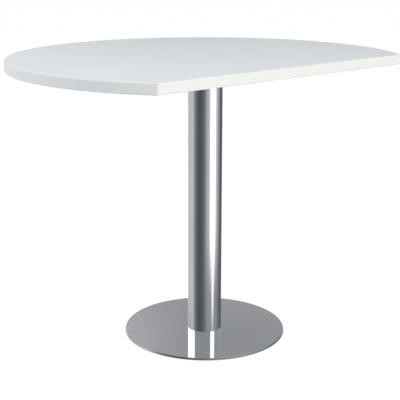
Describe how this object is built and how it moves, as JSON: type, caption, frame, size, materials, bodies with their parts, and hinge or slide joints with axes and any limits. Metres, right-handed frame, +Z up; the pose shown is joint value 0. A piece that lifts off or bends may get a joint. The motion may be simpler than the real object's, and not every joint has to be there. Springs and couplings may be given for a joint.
{
  "type": "pedestal table",
  "caption": "Free-standing pedestal table with a white D-shaped board top, a chromed tube column on its centre and a thin flat chromed disc base.",
  "frame": {"origin": "on the floor, on the column's axis", "axes": "+Z up along the column; the straight side of the top faces -Y; +X runs along the straight side"},
  "size_m": [1, 0.8, 0.73],
  "materials": {
    "white_melamine": "satin",
    "white_edging": "satin",
    "polished_chrome": "polished",
    "black_coated_steel": "matte",
    "zinc_plated_steel": "satin",
    "plain_steel": "satin",
    "black_rubber": "matte"
  },
  "bodies": {
    "root": {"tabletop_board": "white_melamine", "curved_edge_band": "white_edging", "straight_edge_band": "white_edging", "top_mounting_plate": "black_coated_steel", "mounting_plate_screws": "zinc_plated_steel", "column_bolts": "zinc_plated_steel", "column_head_plug": "plain_steel", "column_tube": "polished_chrome", "column_foot_plug": "plain_steel", "base_disc": "polished_chrome", "floor_ring": "black_rubber"}
  },
  "joints": []
}
